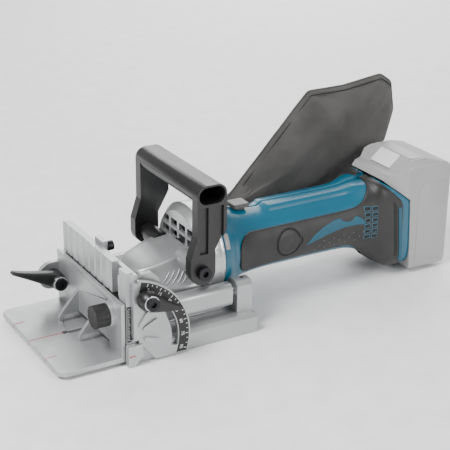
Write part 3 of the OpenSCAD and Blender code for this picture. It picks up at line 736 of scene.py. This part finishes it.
# y, half width at the foot, shoulder's half width and height, half width and height of the top
NOSE = [(-18.2, 9, 11, 38, 8, 50), (-16.8, 15, 17, 40, 13, 58), (-12, 21, 23, 42, 18.5, 62),
        (-5, 25, 28, 44, 21.5, 64.4), (3, 29, 34, 45, 23.8, 66.4), (15, 35, 39.5, 46.5, 26, 69.8),
        (24, 38, 42, 47, 26.4, 71.5), (38, 41, 43.5, 47, 25.4, 73)]
NOSE_FOOT = 24.1
NOSE_FRONT = -18.2
NOSE_BACK = 38
HANDLE_BOLT = (0, 30.3, 66.8)


def nose_section(y):
    """Half outline of the gear housing at a station, from the foot over the top."""
    foot, wide, wide_z, top_w, top_z = blend_table(NOSE, y)
    rise, run = top_z - wide_z, wide - top_w
    return [(foot, NOSE_FOOT), (foot + 0.5 * (wide - foot), (NOSE_FOOT + wide_z) / 2),
            (wide - 0.2, wide_z - 2), (wide - 1.2, wide_z + 0.4),
            (wide - 0.42 * run, wide_z + 0.28 * rise), (top_w + 0.22 * run, wide_z + 0.62 * rise),
            (top_w + 1.4, top_z - 3.2), (top_w + 0.3, top_z - 0.9), (top_w - 2.2, top_z),
            (top_w * 0.5, top_z + 0.6), (0, top_z + 0.9)]


def gear_case():
    rings = []
    for y in np.linspace(NOSE_FRONT, NOSE_BACK, 24):
        half = nose_section(y)
        ring = [(x, y, z) for x, z in half] + [(-x, y, z) for x, z in reversed(half[:-1])]
        rings.append(ring)
    verts, faces = loft(rings)
    obj = piece("gear_case", verts, faces, METAL, "motor_unit", replaces=("gear_housing",))
    crease_ends(obj)
    subdivide(obj, 2)
    louvres()
    handle_bosses()


def crease_ends(obj):
    """Keeps the flat end and the flat foot crisp under subdivision."""
    attribute = obj.data.attributes.new("crease_edge", "FLOAT", "EDGE")
    for edge in obj.data.edges:
        a, b = (obj.data.vertices[i].co for i in edge.vertices)
        at_foot = a.z < (NOSE_FOOT + 0.2) * MM and b.z < (NOSE_FOOT + 0.2) * MM
        at_back = a.y > (NOSE_BACK - 0.2) * MM and b.y > (NOSE_BACK - 0.2) * MM
        attribute.data[edge.index].value = 1.0 if at_foot or at_back else 0.0


def on_flank(y, t):
    """Point of the gear housing's flank: t runs from its shoulder up to the edge of its top."""
    section = nose_section(y)
    place = 3 + 3 * min(0.999, max(0.0, t))
    i = int(place)
    a, b = Vector(section[i]), Vector(section[i + 1])
    return a + (b - a) * (place - i)


def louvres():
    """Five slanting ribs on each flank of the gear housing."""
    verts, faces = [], []
    for side in (1, -1):
        for i in range(5):
            base = len(verts)
            steps = 9
            for k in range(steps):
                t = k / (steps - 1)
                y = 1.5 + 5.0 * i + 12 * t
                p = on_flank(y, 0.12 + 0.52 * t)
                h = 0.3 + 1.1 * math.sin(math.pi * t)
                for dy, lift in ((-1.3, -0.8), (-0.6, h), (0.3, h), (1.5, -0.8)):
                    verts.append((side * (p.x + 0.75 * lift), y + dy, p.y + 0.65 * lift))
            faces += [tuple(base + v for v in f) for f in ring_faces(steps, 4)]
            faces.append((base, base + 1, base + 2, base + 3))
            last = base + 4 * (steps - 1)
            faces.append((last, last + 1, last + 2, last + 3))
    obj = piece("louvres", verts, faces, METAL, "motor_unit")
    subdivide(obj, 1)


def turned(name, outline, origin, axis, material, body):
    """A turned piece: outline of (radius, distance along the axis) pairs, closed at both ends."""
    steps = 48
    axis = Vector(axis).normalized()
    side = axis.orthogonal().normalized()
    other = axis.cross(side)
    rings = []
    for r, along in outline:
        centre = Vector(origin) + axis * along
        rings.append([tuple(centre + (side * math.cos(2 * math.pi * k / steps)
                                      + other * math.sin(2 * math.pi * k / steps)) * r)
                      for k in range(steps)])
    verts, faces = loft(rings)
    bevel(piece(name, verts, faces, material, body), 0.25, 2, 30)


def handle_bosses():
    """Round bosses between the gear housing and the handle's feet."""
    for side, tag in ((1, "left"), (-1, "right")):
        turned("handle_sleeve_" + tag, [(8.8, 20), (8.8, 41), (7.9, 42.5), (7.9, 49.4)],
               HANDLE_BOLT, (side, 0, 0), METAL if side > 0 else BLACK, "motor_unit")


# ---------------------------------------------------------------- levers

def lever_arm(path, sizes):
    """Skin of an oval bar swept along a path; sizes are its half width along X and half height."""
    steps = 28
    rings = []
    for i, centre in enumerate(path):
        a, b = path[max(0, i - 1)], path[min(len(path) - 1, i + 1)]
        along = (Vector(b) - Vector(a)).normalized()
        up = Vector((1, 0, 0)).cross(along).normalized()
        half_x, half_up = sizes[i]
        ring = []
        for k in range(steps):
            w = 2 * math.pi * k / steps
            c, s = math.cos(w), math.sin(w)
            x = half_x * math.copysign(abs(c) ** 0.7, c)
            u = half_up * math.copysign(abs(s) ** 0.7, s)
            ring.append(tuple(Vector(centre) + Vector((x, 0, 0)) + up * u))
        rings.append(ring)
    return loft(rings)


def clamp_lever(name, hub, reach, rise, hub_r, depth, direction, body, node):
    """Cast black lever: a turned hub and an arm that bends up a little and thins to its tip."""
    x0, y0, z0 = hub
    turned(name + "_hub", [(hub_r - 1.2, 0), (hub_r, 1.2), (hub_r, depth * 0.45),
                           (hub_r - 0.9, depth - 2), (hub_r - 2.2, depth)],
           (x0, y0, z0), (1, 0, 0), BLACK, body)
    path, sizes = [], []
    for t in np.linspace(0, 1, 24):
        bend = rise * (t ** 0.85) + 2.0 * math.sin(math.pi * t) * (-0.5 if rise > 0 else -0.3)
        path.append((x0 + depth * (0.52 + 0.14 * t), y0 + direction * reach * t, z0 + bend))
        taper = 1.08 - 0.86 * smooth_step(0.12 + 0.8 * t) ** 0.8
        end = math.sqrt(max(0.02, 1 - max(0.0, (t - 0.92) / 0.08) ** 2))
        sizes.append((depth * (0.36 - 0.18 * t) * end, hub_r * taper * end))
    verts, faces = lever_arm(path, sizes)
    piece(name + "_arm", verts, faces, BLACK, body, replaces=(node,))


def levers():
    clamp_lever("guide_lever", (-64.0, -63.2, 34), 46, 19, 8.0, 19.6, -1, "guide_lever",
                "guide_lever")
    clamp_lever("angle_lever", (74.6, -34, 62.5), 32, -13, 9.5, 10.6, 1, "angle_lever",
                "angle_lever")
    for tag, x, y, z, body in (("guide", -43.4, -63.2, 34, "angle_guide"),
                               ("angle", 86.0, -34, 62.5, "base")):
        turned(tag + "_lever_washer", [(4.2, 0), (7.0, 0), (7.0, 0.7), (6.2, 1.0), (4.2, 1.0)],
               (x - 0.6, y, z), (1, 0, 0), STEEL, body)


# ---------------------------------------------------------------- scales and guide marks

SECTOR_Y = -52.0
SECTOR_Z = 20.0
# Distances along X of the faces that carry marks
TICK_X = 74.12
NUMBER_X = 74.16
STRIP_X = 70.52
# Radii on the quadrant
TICK_OUTER = 59.4
TICK_LONG = 56.6
TICK_SHORT = 57.8
NUMBER_RADIUS = 53.8


def bar_on_dial(angle, r0, r1, half, x):
    """Corners of a flat mark on the quadrant between two radii."""
    c, s = math.cos(math.radians(angle)), math.sin(math.radians(angle))
    return [(x, SECTOR_Y + r * c - w * s, SECTOR_Z + r * s + w * c)
            for r, w in ((r0, -half), (r1, -half), (r1, half), (r0, half))]


def flat_marks(name, quads, material, body, depth=(0.08, 0, 0)):
    """Thin raised marks from flat quads, thickened along depth."""
    verts, faces = [], []
    for quad in quads:
        base = len(verts)
        verts += quad
        verts += [tuple(a + b for a, b in zip(p, depth)) for p in quad]
        faces += [tuple(base + i for i in f) for f in
                  ((0, 1, 2, 3), (4, 5, 6, 7), (0, 1, 5, 4), (1, 2, 6, 5), (2, 3, 7, 6),
                   (3, 0, 4, 7))]
    piece(name, verts, faces, material, body, smooth=False)


def numeral(name, text, at, size, roll, body):
    """A numeral lying on a face that looks towards +X."""
    curve = bpy.data.curves.new(name, "FONT")
    curve.body = text
    curve.size = size * MM
    curve.align_x = "CENTER"
    curve.align_y = "CENTER"
    curve.extrude = 0.04 * MM
    curve.resolution_u = 3
    obj = bpy.data.objects.new(name, curve)
    bpy.context.collection.objects.link(obj)
    upright = Matrix(((0, 0, 1), (1, 0, 0), (0, 1, 0))).to_4x4()
    turn = Matrix.Rotation(math.radians(roll), 4, "X")
    obj.matrix_world = Matrix.Translation(point(*at)) @ turn @ upright
    bpy.context.view_layer.update()
    graph = bpy.context.evaluated_depsgraph_get()
    mesh = bpy.data.meshes.new_from_object(obj.evaluated_get(graph))
    mesh.transform(obj.matrix_world)
    bpy.data.objects.remove(obj)
    solid = bpy.data.objects.new(name, mesh)
    mesh.materials.clear()
    mesh.materials.append(MARKS)
    bpy.context.collection.objects.link(solid)
    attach(solid, body)


def scales():
    ticks = []
    for i in range(19):
        angle = 70 - i * 4.7
        long_tick = i % 3 == 0
        ticks.append(bar_on_dial(angle, TICK_OUTER, TICK_LONG if long_tick else TICK_SHORT, 0.28,
                                 TICK_X))
    flat_marks("angle_ticks", ticks, MARKS, "base")
    for i in range(7):
        angle = 68 - i * 13.6
        c, s = math.cos(math.radians(angle)), math.sin(math.radians(angle))
        at = (NUMBER_X, SECTOR_Y + NUMBER_RADIUS * c, SECTOR_Z + NUMBER_RADIUS * s)
        numeral("angle_number_%d" % (i * 15), str(i * 15), at, 4.3, angle - 90, "base")
    rows = []
    for i, z in enumerate(np.arange(24, 55.5, 1.5)):
        end = -48.4 + (0.9 if i % 5 == 0 else 0)
        rows.append([(STRIP_X, -50.4, z - 0.12), (STRIP_X, end, z - 0.12),
                     (STRIP_X, end, z + 0.12), (STRIP_X, -50.4, z + 0.12)])
    flat_marks("height_ticks", rows, MARKS, "base")


def guide_marks():
    """Red lines that show the cutter's middle and width on the guide."""
    top = 7.62
    cut_half = 37
    lines = [((-0.5, -113.6), (0.5, -81.5))]
    for x in (-cut_half, cut_half):
        lines.append(((x - 0.5, -113.6), (x + 0.5, -103)))
    quads = [[(a[0], a[1], top), (b[0], a[1], top), (b[0], b[1], top), (a[0], b[1], top)]
             for a, b in lines]
    flat_marks("guide_lines", quads, RED, "angle_guide", depth=(0, 0, 0.05))
    fronts = [[(x - 0.5, -114.24, 3.4), (x + 0.5, -114.24, 3.4), (x + 0.5, -114.24, 7.4),
               (x - 0.5, -114.24, 7.4)] for x in (-cut_half, 0, cut_half)]
    flat_marks("edge_lines", fronts, RED, "angle_guide", depth=(0, -0.04, 0))
    centre = [(75.52, -51.6, 9.7), (75.52, -45.5, 9.7), (75.52, -45.5, 10.7), (75.52, -51.6, 10.7)]
    flat_marks("cutter_mark", [centre], RED, "base", depth=(0.04, 0, 0))


# ---------------------------------------------------------------- dust bag

BAG_X = -61.0
BAG_CORNERS = [(107.9, 65.8), (127, 79), (219, 175.5), (262, 175.5), (309, 181.5), (323, 172),
               (328, 141), (319, 108), (290, 84), (200, 52), (129.4, 44.2)]
BAG_CENTRE = Vector((232, 118))
BAG_NECK = Vector((118.6, 54.9))
BAG_NECK_R = 15.6
BAG_RINGS = 26
BAG_STEPS = 220


def bag_outline():
    """Even points round the bag's seam, with its corners slightly rounded."""
    corners = [Vector((y, z)) for y, z in BAG_CORNERS]
    dense = []
    for a, b in zip(corners, corners[1:] + corners[:1]):
        steps = max(2, int((b - a).length))
        dense += [a + (b - a) * i / steps for i in range(steps)]
    for _ in range(5):
        dense = [(dense[i - 1] + dense[i] * 2 + dense[(i + 1) % len(dense)]) / 4
                 for i in range(len(dense))]
    lengths = [0.0]
    for a, b in zip(dense, dense[1:] + dense[:1]):
        lengths.append(lengths[-1] + (b - a).length)
    ring = dense + dense[:1]
    out = []
    for i in range(BAG_STEPS):
        s = lengths[-1] * i / BAG_STEPS
        k = max(0, min(len(dense) - 1, int(np.searchsorted(lengths, s)) - 1))
        t = (s - lengths[k]) / max(1e-6, lengths[k + 1] - lengths[k])
        out.append(ring[k] + (ring[k + 1] - ring[k]) * t)
    return out


# Folds of the cloth: start and end (y, z), height (minus for a valley) and width
BAG_FOLDS = [(219, 171, 268, 118, 2.6, 7), (232, 172, 300, 150, -1.8, 6),
             (306, 174, 268, 138, 2.4, 8), (322, 150, 286, 128, -2.0, 6),
             (262, 140, 236, 84, -3.6, 11), (205, 150, 190, 80, 1.8, 10),
             (150, 72, 250, 150, 2.4, 7), (170, 66, 290, 96, -1.8, 6)]


def fold_height(y, z):
    """Sum of the folds' smooth ridges and valleys at a place on the bag."""
    total = 0.0
    for y0, z0, y1, z1, height, width in BAG_FOLDS:
        a, b, p = Vector((y0, z0)), Vector((y1, z1)), Vector((y, z))
        t = (p - a).dot(b - a) / (b - a).length_squared
        near = p - (a + (b - a) * min(1, max(0, t)))
        fade = 0.35 + 0.65 * (1 - min(1, max(0, t)))
        total += height * fade * math.exp(-(near.length / width) ** 2)
    return total


def bag_fullness(y, z, rho, neck):
    """Half thickness of the filled bag: full low down, slack at the top, creased near the seam."""
    body = (1 - rho ** 2.6) ** 0.6
    slack = 0.7 + 0.3 * smooth_step((185 - z) / 90)
    creases = 1.7 * noise.noise(Vector((y * 0.022, z * 0.022, 3.1)))
    ripples = 0.9 * noise.noise(Vector((y * 0.06 + z * 0.03, z * 0.015 - y * 0.02, 7.7)))
    fine = 0.35 * noise.noise(Vector((y * 0.16, z * 0.13, 2.2)))
    pull = 0.8 * math.sin(0.11 * (y + 0.6 * z)) * rho ** 3
    inside = smooth_step((1 - rho) / 0.12)
    return (15.5 * body * slack * (1 - neck)
            + (creases + ripples + fine + pull + fold_height(y, z)) * inside)


def dust_bag():
    """Two faces of cloth that meet at the seam and part round the neck."""
    outline = bag_outline()
    verts, index = [], {}
    for i in range(BAG_RINGS + 1):
        rho = 1 - (1 - i / BAG_RINGS) ** 1.5 if i else 0.0
        for j, edge in enumerate(outline):
            across = (edge - BAG_NECK).length
            opening = math.sqrt(max(0.0, BAG_NECK_R ** 2 - across ** 2))
            p = BAG_CENTRE + (edge - BAG_CENTRE) * rho
            reach = (p - BAG_NECK).length
            neck = 1 - smooth_step((reach - 10) / 60)
            half = bag_fullness(p.x, p.y, rho, 0.35 * neck)
            half = max(half, opening * rho ** 6, 0)
            half += 9.0 * neck * (1 - rho ** 6) * (1 if opening > 0 or reach < 40 else 0)
            for s in (1, -1):
                if i == BAG_RINGS and opening == 0 and s < 0:
                    index[i, j, s] = index[i, j, 1]
                    continue
                if i == 0 and j > 0:
                    index[i, j, s] = index[0, 0, s]
                    continue
                index[i, j, s] = len(verts)
                verts.append((BAG_X + s * half, p.x, p.y))
    faces = []
    for i in range(BAG_RINGS):
        for j in range(BAG_STEPS):
            k = (j + 1) % BAG_STEPS
            for s in (1, -1):
                quad = [index[i, j, s], index[i, k, s], index[i + 1, k, s], index[i + 1, j, s]]
                face = list(dict.fromkeys(quad))
                if len(face) > 2:
                    faces.append(tuple(face))
    obj = piece("bag_shell", verts, faces, CLOTH, "dust_bag", replaces=("dust_bag",))
    subdivide(obj, 1)
    bag_stitch(outline)
    bag_seam(outline)


def bag_stitch(outline):
    """Dark joint between the bag's broad face and its narrow front and upper edge."""
    path = [p for p in outline if p.y > 84 + max(0.0, (p.x - 219) * 0.8) or
            (p.x < 219 and p.y > 76 and (p.y - 79) > (p.x - 127) * 0.9)]
    path.sort(key=lambda p: p.x)
    rings = []
    for i, p in enumerate(path):
        a, b = path[max(0, i - 2)], path[min(len(path) - 1, i + 2)]
        along = (b - a).normalized()
        out = Vector((-along.y, along.x))
        q = p - out * 3.2
        ring = []
        for k in range(8):
            w = math.pi * k / 4
            r = q + out * 0.55 * math.cos(w)
            ring.append((BAG_X + 4.2 + 0.55 * math.sin(w), r.x, r.y))
        rings.append(ring)
    verts, faces = loft(rings)
    obj = piece("bag_stitch", verts, faces, DARK, "dust_bag")


def bag_seam(outline):
    """Bound seam tape that runs round the bag's edge."""
    keep = [p for p in outline if (p - BAG_NECK).length > 24]
    start = max(range(len(keep)), key=lambda i: (keep[i] - keep[i - 1]).length)
    path = keep[start:] + keep[:start]
    rings = []
    for i, p in enumerate(path):
        a, b = path[max(0, i - 1)], path[min(len(path) - 1, i + 1)]
        along = (b - a).normalized()
        out = Vector((along.y, -along.x))
        if out.dot(p - BAG_CENTRE) < 0:
            out = -out
        wave = 0.5 * noise.noise(Vector((p.x * 0.04, p.y * 0.04, 1.0)))
        ring = []
        for x, d in ((-0.9, -2.6), (0.9, -2.6), (1.0, 0.9), (0.4, 1.5), (-0.4, 1.5), (-1.0, 0.9)):
            q = p + out * d
            ring.append((BAG_X + x + wave, q.x, q.y))
        rings.append(ring)
    verts, faces = loft(rings)
    obj = piece("bag_seam", verts, faces, CLOTH, "dust_bag")
    subdivide(obj, 1)


# ---------------------------------------------------------------- stage and camera

def area_light(name, at, target, size, power):
    light = bpy.data.lights.new(name, "AREA")
    light.shape = "DISK"
    light.size = size
    light.energy = power
    obj = bpy.data.objects.new(name, light)
    bpy.context.collection.objects.link(obj)
    obj.location = at
    obj.rotation_euler = (Vector(target) - Vector(at)).to_track_quat("-Z", "Y").to_euler()


TOOL_MIDDLE = (0, 0.1, 0.06)
# Name, place, diameter in metres and power in watts
LIGHTS = (("key", (0.2, -1.0, 1.5), 0.8, 40), ("rim", (-1.2, 0.95, 0.95), 1.6, 26),
          ("side", (1.5, 0.7, 0.7), 0.7, 13))
WORLD_STRENGTH = 0.48
FLOOR_HALF = 4.0
FLOOR_DROP = 0.0005


def stage():
    """Plain pale floor, an even white surround and three soft lights."""
    mesh = bpy.data.meshes.new("floor")
    h = FLOOR_HALF
    mesh.from_pydata([(-h, -h, 0), (h, -h, 0), (h, h, 0), (-h, h, 0)], [], [(0, 1, 2, 3)])
    mesh.materials.append(plain("floor_white", (0.95, 0.95, 0.95), 0.6))
    floor = bpy.data.objects.new("floor", mesh)
    bpy.context.collection.objects.link(floor)
    floor.location.z = -FLOOR_DROP
    world = bpy.data.worlds.new("studio")
    bpy.context.scene.world = world
    world.use_nodes = True
    background = world.node_tree.nodes["Background"]
    background.inputs["Color"].default_value = (1, 1, 1, 1)
    background.inputs["Strength"].default_value = WORLD_STRENGTH
    for name, at, width, power in LIGHTS:
        area_light(name, at, TOOL_MIDDLE, width, power)


CAMERA_AT = (0.9276, -0.4624, 0.5324)
CAMERA_AZIMUTH = 59.32
CAMERA_ELEVATION = 22.8
CAMERA_ROLL = 0.72
SENSOR = 36.0
LENS = 98.83


def camera():
    azimuth, elevation, roll = (math.radians(a) for a in
                                (CAMERA_AZIMUTH, CAMERA_ELEVATION, CAMERA_ROLL))
    back = Vector((math.sin(azimuth) * math.cos(elevation),
                   -math.cos(azimuth) * math.cos(elevation), math.sin(elevation)))
    right = Vector((math.cos(azimuth), math.sin(azimuth), 0))
    up = back.cross(right)
    rolled = right * math.cos(roll) + up * math.sin(roll)
    data = bpy.data.cameras.new("camera")
    data.sensor_width = SENSOR
    data.lens = LENS
    obj = bpy.data.objects.new("camera", data)
    bpy.context.collection.objects.link(obj)
    turn = Matrix((rolled, back.cross(rolled), back)).transposed().to_4x4()
    obj.matrix_world = Matrix.Translation(Vector(CAMERA_AT)) @ turn
    bpy.context.scene.camera = obj


dress_nodes()
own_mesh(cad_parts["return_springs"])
grip()
battery_details()
gear_case()
levers()
scales()
guide_marks()
dust_bag()
stage()
camera()
